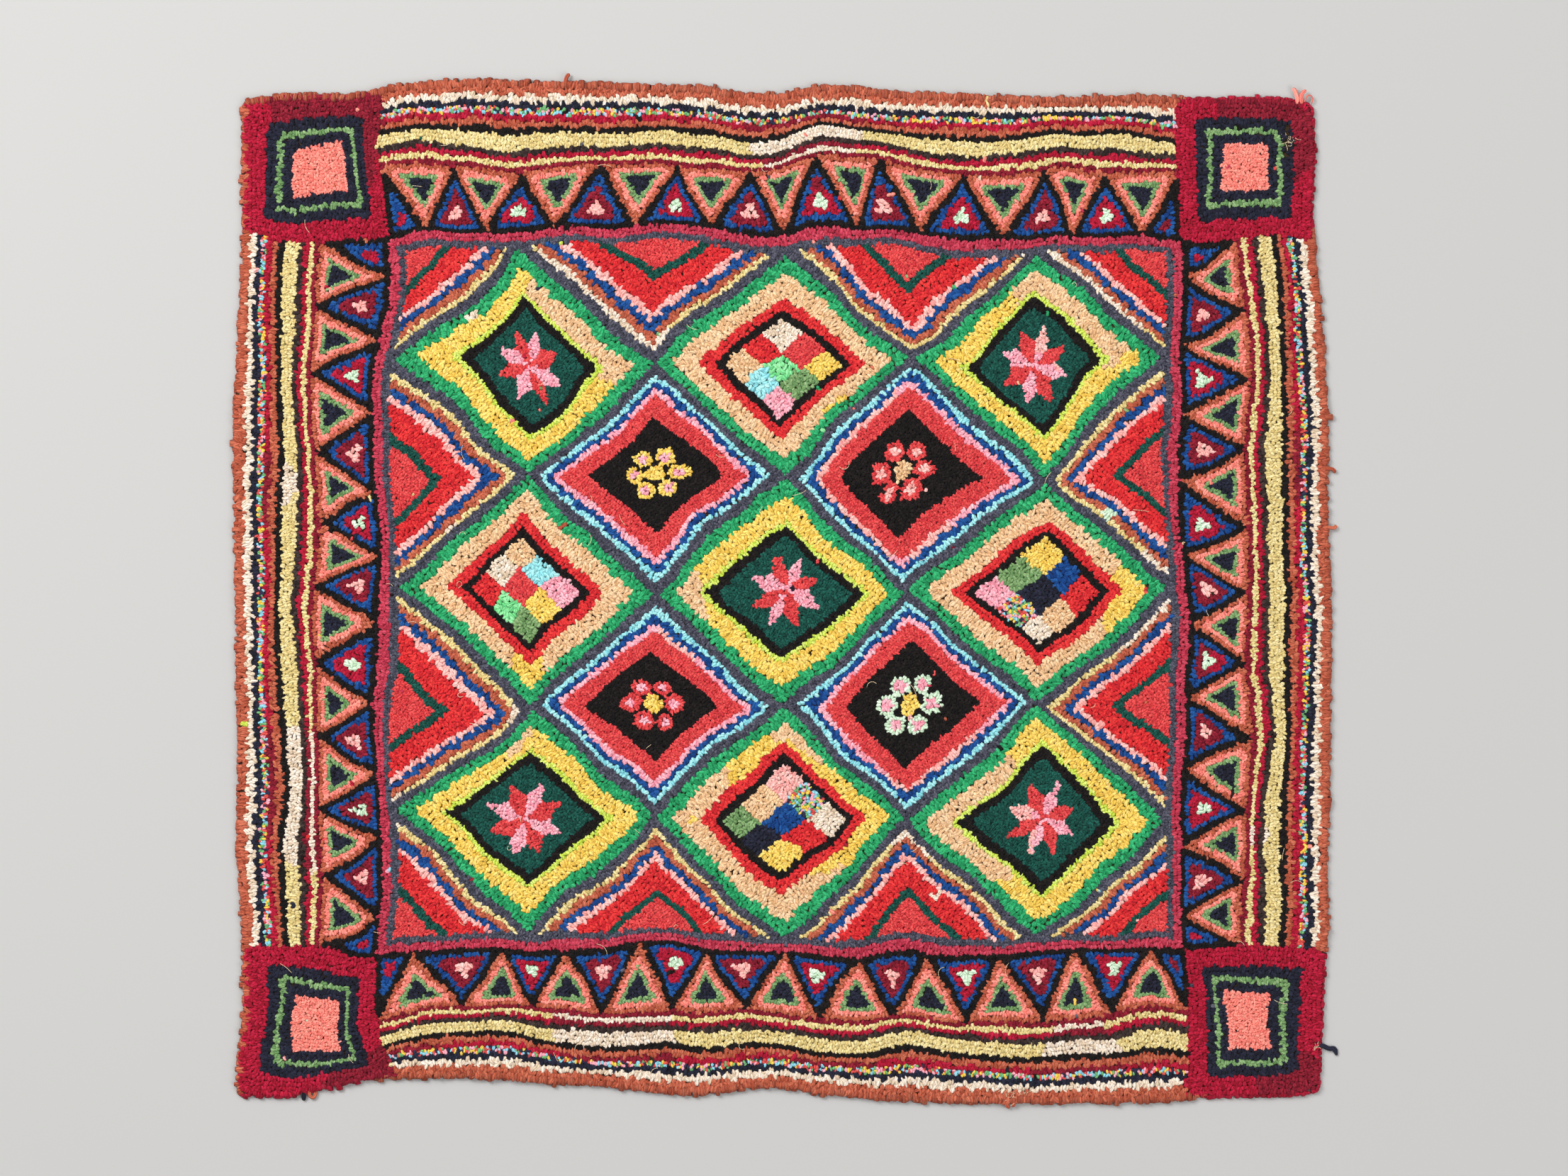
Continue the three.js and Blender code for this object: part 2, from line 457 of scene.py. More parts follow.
def star(centre, side):
    """Eight-pointed star of eight lozenges in two rags, round its middle."""
    lozenges = []
    for k in range(8):
        low, high = (math.pi / 4 * (k + share) for share in (0, 1))
        first = side * np.array([math.cos(low), math.sin(low)])
        second = side * np.array([math.cos(high), math.sin(high)])
        corners = np.array(centre) + [np.zeros(2), first, first + second, second]
        lozenges.append(patch(corners, [(STAR_RAGS[k % 2], FILL)]))
    return lozenges


def rosette(centre, petal_rag):
    """Round flower: a yellow eye and six petals."""
    bands = [(petal_rag, PETAL_RIM), ("pink", FILL)]
    petals = []
    for k in range(6):
        spoke = np.array([math.cos(k * math.pi / 3), math.sin(k * math.pi / 3)])
        petals.append(disc(np.array(centre) + spoke * PETAL_SPREAD * PETAL_RADIUS, PETAL_RADIUS, bands))
    return [disc(centre, PETAL_RADIUS, [("yellow", FILL)]), *petals]


def mosaic(centre, half_diagonals, turn):
    """Nine small lozenges in mixed rags, three by three."""
    third = np.array(half_diagonals) / 3
    patches = []
    for i in (-1, 0, 1):
        for j in (-1, 0, 1):
            place = np.array(centre) + third * (i + j, i - j)
            choice = MOSAIC_RAGS[(turn + 4 * i + 5 * j) % len(MOSAIC_RAGS)]
            patches.append(diamond(place, third, [(choice, FILL)]))
    return patches


def field_patches():
    """Trellis of nested diamonds over the field, and the motifs in their middles."""
    reach = HALF - FIELD_INSET
    half = reach / 3
    diamonds, motifs = [], []
    for i in range(-1, 2):
        for j in range(-1, 2):
            centre = 2 * half * (i, j)
            starry = (i + j) % 2 == 0
            diamonds.append(diamond(centre, half, STAR_BANDS if starry else MOSAIC_BANDS))
            core = half * CORE_SHARE
            motifs += star(centre, STAR_SIDE) if starry else mosaic(centre, core, 3 * i + 5 * j)
    for i in range(-2, 2):
        for j in range(-2, 2):
            centre = half * (2 * i + 1, 2 * j + 1)
            whole = abs(2 * i + 1) == 1 and abs(2 * j + 1) == 1
            diamonds.append(diamond(centre, half, ROSETTE_BANDS if whole else SIDE_BANDS))
            if whole:
                motifs += rosette(centre, PETAL_RAGS[(i + 2 * j) % len(PETAL_RAGS)])
    return diamonds, motifs


def tooth_patches():
    """Sawtooth border of triangles between the outer and the inner stripes."""
    teeth = []
    for axis, sign in ((0, 1), (0, -1), (1, 1), (1, -1)):
        length = 2 * (HALF[axis] - CORNER_SIZE)
        count = round(length / TOOTH_BASE)
        base = length / count

        def place(step, inset):
            along = -length / 2 + np.clip(step, 0, count) * base
            out = sign * (HALF[1 - axis] - inset)
            return (along, out) if axis == 0 else (out, along)

        for k in range(count):
            corners = [place(k, OUTER_WIDTH), place(k + 1, OUTER_WIDTH), place(k + 0.5, CORNER_SIZE)]
            teeth.append(patch(corners, OUT_TOOTH_BANDS))
        for k in range(count + 1):
            corners = [place(k - 0.5, CORNER_SIZE), place(k + 0.5, CORNER_SIZE), place(k, OUTER_WIDTH)]
            teeth.append(patch(corners, IN_TOOTH_BANDS[k % 2]))
    return teeth


def corner_patches():
    """Nested squares in the four corners."""
    squares = []
    for side, end, *start in CORNERS:
        size = CORNER_SIZE - np.array(start)
        middle = np.array([side, end]) * (HALF - start - size / 2)
        spokes = np.array([(-1, -1), (1, -1), (1, 1), (-1, 1)]) * size / 2
        squares.append(patch(middle + spokes, CORNER_BANDS))
    return squares


def patch_rows(piece):
    """Rows of one patch, from its outline inwards."""
    depth = 0.0
    for name, width in piece.bands:
        width = min(width or piece.reach, piece.reach - depth)
        if width < THINNEST_ROW:
            break
        count = max(1, round(width / RAGS[name].across))
        for k in range(count):
            inset = depth + (k + 0.5) * width / count
            scale = 1 - inset / piece.reach
            yield Row(piece.centre + (piece.corners - piece.centre) * scale, name, width / count)
        depth += width


def stripe_rows(start, stripes):
    """Rows of plain stripes running round the rug, from a given inset inwards."""
    square = np.array([(-1, -1), (1, -1), (1, 1), (-1, 1)])
    depth = start
    for name, width in stripes:
        count = max(1, round(width / RAGS[name].across))
        for k in range(count):
            inset = depth + (k + 0.5) * width / count
            shift = SIDE_SHIFT * np.clip((OUTER_WIDTH - inset) / (OUTER_WIDTH - EDGE_WIDTH), 0, 1)
            yield Row(square * (HALF - inset + (shift, 0)), name, width / count)
        depth += width


def within(points, corners):
    """True for each point inside a convex outline."""
    sides = np.roll(corners, -1, 0) - corners
    return (cross(sides[None], points[:, None] - corners[None]) > 0).all(1)


# Loops of the whole rug as one array with named columns
LOOP = np.dtype([("at", float, 2), ("heading", float), ("across", float), ("along", float), ("rag", int)])
RAG_NAMES = list(RAGS)


def strung(row):
    """Loops strung along one closed row, a little unevenly."""
    closed = np.vstack([row.ring, row.ring[:1]])
    steps = np.diff(closed, axis=0)
    mileage = np.concatenate([[0], np.cumsum(np.linalg.norm(steps, axis=1))])
    count = max(1, round(mileage[-1] / RAGS[row.rag].along))
    spacing = mileage[-1] / count
    place = np.arange(count) + rng.uniform() + rng.normal(0, UNEVEN_SPACING, count)
    place = place * spacing % mileage[-1]
    edge = np.clip(np.searchsorted(mileage, place, "right") - 1, 0, len(steps) - 1)
    loops = np.zeros(count, LOOP)
    loops["at"] = np.column_stack([np.interp(place, mileage, closed[:, k]) for k in (0, 1)])
    loops["at"] += rng.normal(0, UNEVEN_PLACE, (count, 2))
    loops["heading"] = np.arctan2(steps[edge, 1], steps[edge, 0])
    loops["across"] = row.width
    loops["along"] = max(spacing, RAGS[row.rag].along * SHORTEST_SHARE)
    loops["rag"] = RAG_NAMES.index(row.rag)
    return loops


def hooked(rows, holes=(), limit=None):
    """Loops of many rows, less those in patches hooked before or beyond a limiting inset."""
    loops = np.concatenate([strung(row) for row in rows])
    keep = np.ones(len(loops), bool)
    for hole in holes:
        keep &= ~within(loops["at"], hole.corners)
    if limit is not None:
        keep &= inset_of(loops["at"]) > limit
    return loops[keep]


def pattern_loops():
    """All loops in the plain rectangle, motifs first."""
    diamonds, motifs = field_patches()
    teeth = tooth_patches()
    squares = corner_patches()
    return np.concatenate([
        hooked(row for piece in motifs for row in patch_rows(piece)),
        hooked((row for piece in diamonds for row in patch_rows(piece)), motifs, FIELD_INSET),
        hooked(stripe_rows(CORNER_SIZE, INNER_STRIPES)),
        hooked(row for piece in teeth for row in patch_rows(piece)),
        hooked(row for piece in squares for row in patch_rows(piece)),
        hooked(stripe_rows(EDGE_WIDTH, OUTER_STRIPES), squares),
    ])


def tree_of(points):
    """Search tree of flat points."""
    tree = KDTree(len(points))
    for i, (x, y) in enumerate(points):
        tree.insert((x, y, 0), i)
    tree.balance()
    return tree


def thinned(loops):
    """Leaves out each loop that would sit on one hooked before it."""
    tree = tree_of(loops["at"])
    clearance = LOOP_CLEARANCE * np.sqrt(loops["across"] * loops["along"])
    keep = np.ones(len(loops), bool)
    for i, (x, y) in enumerate(loops["at"]):
        if keep[i]:
            for _, j, _ in tree.find_range((x, y, 0), clearance[i]):
                keep[j] &= j <= i
    return loops[keep]


def gap_filled(loops):
    """Adds a loop of the nearest rag wherever the foundation would show."""
    counts = (2 * HALF / GAP_STEP).astype(int)
    grid = np.stack(np.meshgrid(*(np.arange(n) for n in counts)), -1).reshape(-1, 2)
    places = (grid + rng.uniform(0, 1, grid.shape)) * GAP_STEP - HALF
    places = rng.permutation(to_outline(places[inset_of(places) > GAP_INSET]))
    tree = tree_of(loops["at"])
    found = [tree.find((x, y, 0)) for x, y in places]
    nearest = loops[[index for _, index, _ in found]]
    distance = np.array([gap for _, _, gap in found])
    free = distance > GAP_SHARE * np.sqrt(nearest["across"] * nearest["along"])
    added = nearest[free]
    added["at"] = places[free]
    return thinned(np.concatenate([loops, added]))


def rag_changes(loops):
    """Lets some rags run out along their rows, and mixes in a few stray loops."""
    rags = loops["rag"].copy()
    short = RUN_OUT_WAVES.at(loops["at"]) > RUN_OUT
    for name, other in NEXT_BEST.items():
        rags[short & (loops["rag"] == RAG_NAMES.index(name))] = RAG_NAMES.index(other)
    stray = rng.uniform(size=len(loops)) < STRAY_SHARE
    rags[stray] = rng.permutation(rags[stray])
    for place, reach, name in REPAIRS:
        rags[np.linalg.norm(loops["at"] - place, axis=1) < reach] = RAG_NAMES.index(name)
    loops["rag"] = rags
    return loops


def laid_out(loops):
    """Carries the loops from the plain rectangle to their places on the rug."""
    ahead = np.column_stack([np.cos(loops["heading"]), np.sin(loops["heading"])])
    place = to_outline(wavered(loops["at"]))
    step = to_outline(wavered(loops["at"] + ahead)) - place
    loops["at"] = place
    loops["heading"] = np.arctan2(step[:, 1], step[:, 0])
    return loops


def room_round(loops):
    """Distance from each loop to its neighbours ahead, behind, left and right."""
    tree = tree_of(loops["at"])
    near = np.array([
        [index for _, index, _ in tree.find_n((x, y, 0), NEIGHBOURS + 1)][1:] for x, y in loops["at"]
    ])
    offset = loops["at"][near] - loops["at"][:, None]
    cos, sin = np.cos(loops["heading"])[:, None], np.sin(loops["heading"])[:, None]
    ahead = offset[..., 0] * cos + offset[..., 1] * sin
    aside = offset[..., 1] * cos - offset[..., 0] * sin

    def nearest(reach, slip, usual):
        facing = (reach > 0) & (reach > FACING_SHARE * np.abs(slip))
        least = np.where(facing, reach, np.inf).min(1)
        return np.clip(least, ROOM_LEAST * usual, ROOM_MOST * usual)

    return (
        nearest(ahead, aside, loops["along"]),
        nearest(-ahead, aside, loops["along"]),
        nearest(aside, ahead, loops["across"]),
        nearest(-aside, ahead, loops["across"]),
    )


def fitted(loops):
    """Lets each loop settle midway between its neighbours and swell to the room it has."""
    ahead, behind, left, right = room_round(loops)
    cos, sin = np.cos(loops["heading"]), np.sin(loops["heading"])
    forward = (ahead - behind) * SETTLE_SHARE
    sideways = (left - right) * SETTLE_SHARE
    loops["at"][:, 0] += forward * cos - sideways * sin
    loops["at"][:, 1] += forward * sin + sideways * cos
    ahead, behind, left, right = room_round(loops)
    loops["along"] = (ahead + behind) / 2
    loops["across"] = (left + right) / 2
    return loops


# Mesh making
def mesh_object(name, points, faces_by_size, material):
    """New smooth mesh from points in millimetres and arrays of faces, with a flat map from above."""
    corners = np.concatenate([faces.ravel() for faces in faces_by_size])
    sizes = np.concatenate([np.full(len(faces), faces.shape[1]) for faces in faces_by_size])
    mesh = bpy.data.meshes.new(name)
    mesh.vertices.add(len(points))
    mesh.vertices.foreach_set("co", (points * MM).astype(np.float32).ravel())
    mesh.loops.add(len(corners))
    mesh.loops.foreach_set("vertex_index", corners.astype(np.int32))
    mesh.polygons.add(len(sizes))
    starts = np.concatenate([[0], np.cumsum(sizes)[:-1]])
    mesh.polygons.foreach_set("loop_start", starts.astype(np.int32))
    mesh.polygons.foreach_set("use_smooth", np.ones(len(sizes), bool))
    low, span = points[:, :2].min(0), np.ptp(points[:, :2], axis=0)
    places = (points[corners, :2] - low) / span
    flat_map = mesh.uv_layers.new(name="OFBake")
    flat_map.data.foreach_set("uv", places.astype(np.float32).ravel())
    mesh.update(calc_edges=True)
    mesh.validate()
    mesh.materials.append(material)
    piece = bpy.data.objects.new(name, mesh)
    bpy.context.scene.collection.objects.link(piece)
    return piece


def add_attribute(piece, name, values):
    """Number stored at each point of a piece, for its material."""
    attribute = piece.data.attributes.new(name, "FLOAT", "POINT")
    attribute.data.foreach_set("value", values.astype(np.float32))


def dressed(piece):
    """Fixes a piece to the rug's body and lets it stand for the solid."""
    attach(piece, BODY)
    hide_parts(RUG)
    return piece


def loop_forms():
    """Uneven outlines and dips of loops: six low corners, then the two ends of a ridge."""
    angle = np.arange(LOOP_LOW) * 2 * math.pi / LOOP_LOW
    angle = angle + rng.uniform(-LOOP_SKEW, LOOP_SKEW, (LOOP_FORMS, LOOP_LOW))
    low = np.stack([np.cos(angle), np.sin(angle)], -1)
    low *= rng.uniform(*LOOP_RADII, (LOOP_FORMS, LOOP_LOW, 1))
    high = LOOP_TOP_SHARE * np.array([(0, 1), (0, -1)])
    high = high + rng.uniform(-LOOP_SKEW, LOOP_SKEW, (LOOP_FORMS, LOOP_HIGH, 2))
    low_dips = rng.uniform(LOOP_SHALLOWEST, LOOP_DEEPEST, (LOOP_FORMS, LOOP_LOW))
    high_dips = rng.uniform(0, RIDGE_DEEPEST, (LOOP_FORMS, LOOP_HIGH))
    return np.concatenate([low, high], 1) / 2, np.concatenate([low_dips, high_dips], 1)


FORM_OUTLINES, FORM_DIPS = loop_forms()


def loop_piece(name, loops, tops, material):
    """All loops of one rag as one mesh."""
    count = len(loops)
    form = rng.integers(0, LOOP_FORMS, count)
    size = np.column_stack([loops["along"], loops["across"]])
    stretch = np.exp(rng.normal(LOOP_STRETCH, UNEVEN_STRETCH, count))
    size *= rng.uniform(*LOOP_SIZES, (count, 2)) * np.column_stack([1 / stretch, stretch])
    flat = FORM_OUTLINES[form] * (size + LOOP_OVERLAP)[:, None]
    squat = (loops["along"] / loops["across"]) ** 2
    sway = LOOP_TURN * np.clip(TURN_EASE * squat, LEAST_TURN, 1)
    turn = loops["heading"] + rng.normal(0, sway)
    cos, sin = np.cos(turn)[:, None], np.sin(turn)[:, None]
    points = np.zeros((count, LOOP_POINTS, 3))
    points[..., 0] = loops["at"][:, :1] + flat[..., 0] * cos - flat[..., 1] * sin
    points[..., 1] = loops["at"][:, 1:] + flat[..., 0] * sin + flat[..., 1] * cos
    points[..., 2] = (tops + rng.normal(LOOP_RISE, UNEVEN_RISE, count))[:, None] - FORM_DIPS[form]
    points[:, LOOP_LOW:, :2] += rng.normal(0, RIDGE_LEAN, (count, 1, 2))
    faces = (np.arange(count)[:, None, None] * LOOP_POINTS + LOOP_FACES).reshape(-1, 3)
    creases = flat[..., 0] / CREASE_PITCH + rng.uniform(0, 1, (count, 1))
    piece = mesh_object(name, points.reshape(-1, 3), [faces], material)
    add_attribute(piece, "crease", creases.ravel())
    add_attribute(piece, "tone", np.repeat(rng.uniform(0, 1, count), LOOP_POINTS))
    # Painted shade: the deeper a corner dips between its neighbours, the darker it is drawn
    add_attribute(piece, "depth", 1 - FORM_DIPS[form].ravel() / LOOP_DEEPEST)
    return dressed(piece)


def strip_piece(name, centres, sides, rises, painted_shades, material):
    """Closed strips as one mesh, from middle lines, half widths and half thicknesses."""
    count, sections = centres.shape[:2]
    corner = np.arange(STRIP_CORNERS)
    angle = corner[:, None] * 2 * math.pi / STRIP_CORNERS
    points = centres[:, :, None] + sides[:, :, None] * np.cos(angle)
    points = points - rises[:, :, None] * np.sin(angle)
    first = np.arange(count)[:, None, None] * STRIP_CORNERS * sections
    after = np.roll(corner, -1)
    ring = np.column_stack([corner, after, after + STRIP_CORNERS, corner + STRIP_CORNERS])
    walls = first[..., None] + STRIP_CORNERS * np.arange(sections - 1)[:, None, None] + ring
    ends = first + np.stack([corner[::-1], corner + STRIP_CORNERS * (sections - 1)])
    faces = [walls.reshape(-1, 4), ends.reshape(-1, STRIP_CORNERS)]
    piece = mesh_object(name, points.reshape(-1, 3), faces, material)
    add_attribute(piece, "tone", np.repeat(rng.uniform(0, 1, count), STRIP_CORNERS * sections))
    # Painted shade along each strip, kept under the name depth as for the loops
    painted_shades = np.broadcast_to(painted_shades, (count, sections))
    add_attribute(piece, "depth", np.repeat(painted_shades, STRIP_CORNERS))
    creases = STRIP_CREASES * np.cos(angle).T + rng.uniform(0, 1, (count, 1))
    add_attribute(piece, "crease", np.repeat(creases, sections, axis=0).ravel())
    return dressed(piece)


def foundation_piece(material):
    """Closed sheet of burlap that the loops are hooked through."""
    counts = np.round(2 * HALF / CLOTH_PITCH).astype(int)
    lines = [np.linspace(-reach, reach, count) for reach, count in zip(HALF - CLOTH_INSET, counts)]
    flat = to_outline(np.stack(np.meshgrid(*lines), -1).reshape(-1, 2))
    columns, rows = counts
    cell = (np.arange(columns - 1) + columns * np.arange(rows - 1)[:, None]).ravel()
    upper = np.column_stack([cell, cell + 1, cell + 1 + columns, cell + columns])
    near, right = np.arange(columns - 1), np.arange(rows - 1) * columns + columns - 1
    last, under = len(flat) - 1, len(flat)
    rim = np.concatenate([near, right, last - near, last - right])
    after = np.roll(rim, -1)
    walls = np.column_stack([rim + under, after + under, after, rim])
    tops = np.maximum(pile_top(flat) - CLOTH_DEPTH, CLOTH_THINNEST)
    levels = np.concatenate([tops, np.full(len(flat), CLOTH_BOTTOM)])
    points = np.column_stack([np.vstack([flat, flat]), levels])
    faces = np.vstack([upper, upper[:, ::-1] + under, walls])
    return dressed(mesh_object("foundation", points, [faces], material))


def edge_reach(places, outward):
    """How far in the strip at each place on the outline reaches."""
    def along(rows, values):
        return np.interp(values, *zip(*rows))

    across, lengthways = places.T
    ends = np.where(outward[:, 1] > 0, along(REACH_FAR, across), along(REACH_NEAR, across))
    sides = np.where(outward[:, 0] > 0, along(REACH_RIGHT, lengthways), along(REACH_LEFT, lengthways))
    return np.where(np.abs(outward[:, 1]) > np.abs(outward[:, 0]), ends, sides)


def edge_places():
    """Places of the strips round the outline, and the ways ahead and outward there."""
    closed = np.vstack([RING, RING[:1]])
    mileage = np.concatenate([[0], np.cumsum(np.linalg.norm(np.diff(closed, axis=0), axis=1))])
    count = round(mileage[-1] / STRIP_PITCH)
    way = (np.arange(count) + rng.normal(0, UNEVEN_PITCH, count)) * mileage[-1] / count

    def on_outline(distance):
        return np.column_stack([np.interp(distance % mileage[-1], mileage, closed[:, k]) for k in (0, 1)])

    ahead = on_outline(way + LOOK_AHEAD) - on_outline(way - LOOK_AHEAD)
    ahead /= np.linalg.norm(ahead, axis=1)[:, None]
    return on_outline(way), ahead, np.column_stack([ahead[:, 1], -ahead[:, 0]])


def strip_paths(reach):
    """Each strip's way from under the edge, round it and onto the pile: outward place and height."""
    count = len(reach)
    reach = reach * rng.uniform(*STRIP_REACHES, count)
    start, end = np.array(STRIP_START), np.array(STRIP_END)
    tucked = np.minimum(start[:, 0], TUCK_SHARE * reach[:, None])
    inset = np.column_stack([tucked, end[:, 0] * reach[:, None]])
    height = np.tile(np.concatenate([start[:, 1], end[:, 1]]), (count, 1))
    lift = np.clip(reach / FULL_REACH, LOWEST_SHARE, 1)[:, None]
    height[:, 3:] *= lift + rng.normal(0, UNEVEN_HEIGHT, (count, 1))
    bulge = rng.normal(BULGE, UNEVEN_BULGE, count)
    bulge += PROUD_BULGE * (rng.uniform(size=count) < PROUD_SHARE)
    inset[:, 2:4] -= bulge[:, None]
    return np.stack([-inset, height], -1)


def edge_pieces(materials):
    """Strips turned over the edge all round: brick ones, and crimson ones where those end."""
    places, ahead, outward = edge_places()
    reach = edge_reach(places, outward)
    bare = reach < BARE_REACH
    # Painted shade along each strip, deeper on long strips
    painted_shades = np.interp(reach, *zip(*STRIP_SHADE_BY_REACH))[:, None] * STRIP_PAINTED_SHADE
    path = strip_paths(reach)
    count, sections = path.shape[:2]
    step = np.gradient(path, axis=1)
    step /= np.linalg.norm(step, axis=2)[..., None]
    thick = np.array(STRIP_START + STRIP_END)[:, 2] * rng.uniform(*STRIP_THICKNESSES, (count, 1))
    places, ahead, outward = (np.pad(flat, ((0, 0), (0, 1))) for flat in (places, ahead, outward))
    up = np.array([0, 0, 1.0])

    def in_space(plane):
        return outward[:, None] * plane[..., :1] + up * plane[..., 1:]

    slant = rng.normal(0, UNEVEN_SLANT, (count, 1)) * np.linspace(0, 1, sections)
    centres = places[:, None] + in_space(path) + ahead[:, None] * slant[..., None]
    rises = in_space(np.stack([step[..., 1], -step[..., 0]], -1)) * thick[..., None]
    width = STRIP_HALF_WIDTH * rng.uniform(*STRIP_WIDTHS, (count, 1))
    width = width * rng.uniform(*SECTION_WIDTHS, (count, sections))
    sides = ahead[:, None] * width[..., None]
    pieces = []
    for name, rag_name, chosen in (("edge_strips", "brick", ~bare), ("corner_strips", "crimson", bare)):
        shapes = (values[chosen] for values in (centres, sides, rises, painted_shades))
        pieces.append(strip_piece(name, *shapes, materials[rag_name]))
    return pieces


def smooth_line(points, sections):
    """Evenly spaced points of a smooth line through the given ones."""
    points = np.array(points, float)
    padded = np.vstack([2 * points[0] - points[1], points, 2 * points[-1] - points[-2]])
    place = np.linspace(0, len(points) - 1, sections)
    k = np.minimum(place.astype(int), len(points) - 2)
    t = (place - k)[:, None]
    a, b, c, d = (padded[k + j] for j in range(4))
    return b + 0.5 * t * (c - a + t * (2 * a - 5 * b + 4 * c - d + t * (3 * (b - c) + d - a)))


def strand_piece(name, lines, half_width, half_thickness, material):
    """Loose strips or fibres along smooth lines, tapering at their ends."""
    centres = np.stack([smooth_line(line, STRAND_SECTIONS) for line in lines])
    step = np.gradient(centres, axis=1)
    step /= np.linalg.norm(step, axis=2)[..., None]
    sides = np.cross(step, [0, 0, 1.0])
    sides /= np.linalg.norm(sides, axis=2)[..., None]
    rises = np.cross(sides, step)
    full = np.ones(STRAND_SECTIONS - len(STRAND_TAPER))
    taper = np.concatenate([full, STRAND_TAPER])[:, None]
    width = np.reshape(half_width, (-1, 1, 1)) * taper
    thickness = np.reshape(half_thickness, (-1, 1, 1)) * taper
    # Loose strands get no painted shade
    painted_shades = np.ones(STRAND_SECTIONS)
    return strip_piece(name, centres, sides * width, rises * thickness, painted_shades, material)


def fibre_line(middle, length, low, high):
    """A short curling fibre over a place."""
    heading = rng.uniform(0, 2 * math.pi)
    curl = rng.normal(0, FIBRE_CURL)
    line = []
    for share in np.linspace(-0.5, 0.5, FIBRE_POINTS):
        angle = heading + curl * share
        step = share * length * np.array([math.cos(angle), math.sin(angle)])
        line.append((*(middle + step), rng.uniform(low, high)))
    return line


def fibre_lines():
    """Frayed burlap ends at the worn places and stray fibres over the pile."""
    lines = []
    for middle, spread, count in FRAYS:
        for _ in range(count):
            place = np.array(middle) + rng.normal(0, spread / 2, 2)
            lines.append(fibre_line(place, rng.uniform(*FRAY_LENGTHS), *FRAY_HEIGHTS))
    for place in rng.uniform(-1, 1, (STRAY_FIBRES, 2)) * (HALF - STRAY_INSET):
        lines.append(fibre_line(place, rng.uniform(*STRAY_LENGTHS), *STRAY_HEIGHTS))
    return lines


def off_split(points):
    """True for each loop that isn't in the worn split."""
    start, side = SPLIT[0], SPLIT[1] - SPLIT[0]
    share = np.clip((points - start) @ side / (side @ side), 0, 1)
    return np.linalg.norm(points - start - share[:, None] * side, axis=1) > SPLIT_REACH


# Materials
def linear(shade):
    """Linear colour from a hex shade, by the standard display curve."""
    levels = [int(shade[k:k + 2], 16) / 255 for k in (1, 3, 5)]
    return [c / 12.92 if c <= 0.04045 else ((c + 0.055) / 1.055) ** 2.4 for c in levels] + [1.0]


def new_material(name, roughness, sheen):
    """Cloth material with its shader, ready for colour and bump."""
    material = bpy.data.materials.new(name)
    material.use_nodes = True
    shader = material.node_tree.nodes["Principled BSDF"]
    shader.inputs["Roughness"].default_value = roughness
    shader.inputs["Specular IOR Level"].default_value = CLOTH_GLOSS
    shader.inputs["Sheen Weight"].default_value = sheen
    shader.inputs["Sheen Roughness"].default_value = SHEEN_ROUGHNESS
    return material, material.node_tree, shader


def add_noise(tree, scale, detail):
    """Noise over the rug's own place, so that it stays put on the cloth."""
    place = tree.nodes.new("ShaderNodeTexCoord")
    noise = tree.nodes.new("ShaderNodeTexNoise")
    noise.inputs["Scale"].default_value = scale
    noise.inputs["Detail"].default_value = detail
    tree.links.new(place.outputs["Object"], noise.inputs["Vector"])
    return noise.outputs["Fac"]


def add_bump(tree, shader, height, strength, distance):
    """Bump on the shader from a height between 0 and 1."""
    bump = tree.nodes.new("ShaderNodeBump")
    bump.inputs["Strength"].default_value = strength
    bump.inputs["Distance"].default_value = distance
    tree.links.new(height, bump.inputs["Height"])
    tree.links.new(bump.outputs["Normal"], shader.inputs["Normal"])


def add_ramp(tree, factor, shades, stepped=False):
    """Colours from a number between 0 and 1."""
    ramp = tree.nodes.new("ShaderNodeValToRGB")
    ramp.color_ramp.interpolation = "CONSTANT" if stepped else "LINEAR"
    stops = ramp.color_ramp.elements
    while len(stops) < len(shades):
        stops.new(0.5)
    for k, shade in enumerate(shades):
        stops[k].position = k / len(shades) if stepped else k / (len(shades) - 1)
        stops[k].color = linear(shade)
    tree.links.new(factor, ramp.inputs["Fac"])
    return ramp.outputs["Color"]


def add_multiply(tree, colour, factor, low):
    """Darkens a colour where a number falls from 1 to 0, down to a lowest share."""
    spread = tree.nodes.new("ShaderNodeMapRange")
    spread.inputs["To Min"].default_value = low
    tree.links.new(factor, spread.inputs["Value"])
    mix = tree.nodes.new("ShaderNodeMix")
    mix.data_type = "RGBA"
    mix.blend_type = "MULTIPLY"
    mix.inputs["Factor"].default_value = 1.0
    tree.links.new(colour, mix.inputs["A"])
    tree.links.new(spread.outputs["Result"], mix.inputs["B"])
    return mix.outputs["Result"]


def add_number(tree, name):
    """The number stored at each point under a name."""
    number = tree.nodes.new("ShaderNodeAttribute")
    number.attribute_name = name
    return number.outputs["Fac"]


def add_creases(tree):
    """Rounded folds with sharp valleys between them, from each strip's own crease number."""
    wander = tree.nodes.new("ShaderNodeMath")
    wander.operation = "MULTIPLY_ADD"
    wander.inputs[1].default_value = FOLD_WANDER
    tree.links.new(add_noise(tree, FOLD_NOISE, 0.0), wander.inputs[0])
    tree.links.new(add_number(tree, "crease"), wander.inputs[2])
    turns = tree.nodes.new("ShaderNodeMath")
    turns.operation = "MULTIPLY"
    turns.inputs[1].default_value = math.pi
    tree.links.new(wander.outputs["Value"], turns.inputs[0])
    wave = tree.nodes.new("ShaderNodeMath")
    wave.operation = "SINE"
    tree.links.new(turns.outputs["Value"], wave.inputs[0])
    folds = tree.nodes.new("ShaderNodeMath")
    folds.operation = "ABSOLUTE"
    tree.links.new(wave.outputs["Value"], folds.inputs[0])
    return folds.outputs["Value"]


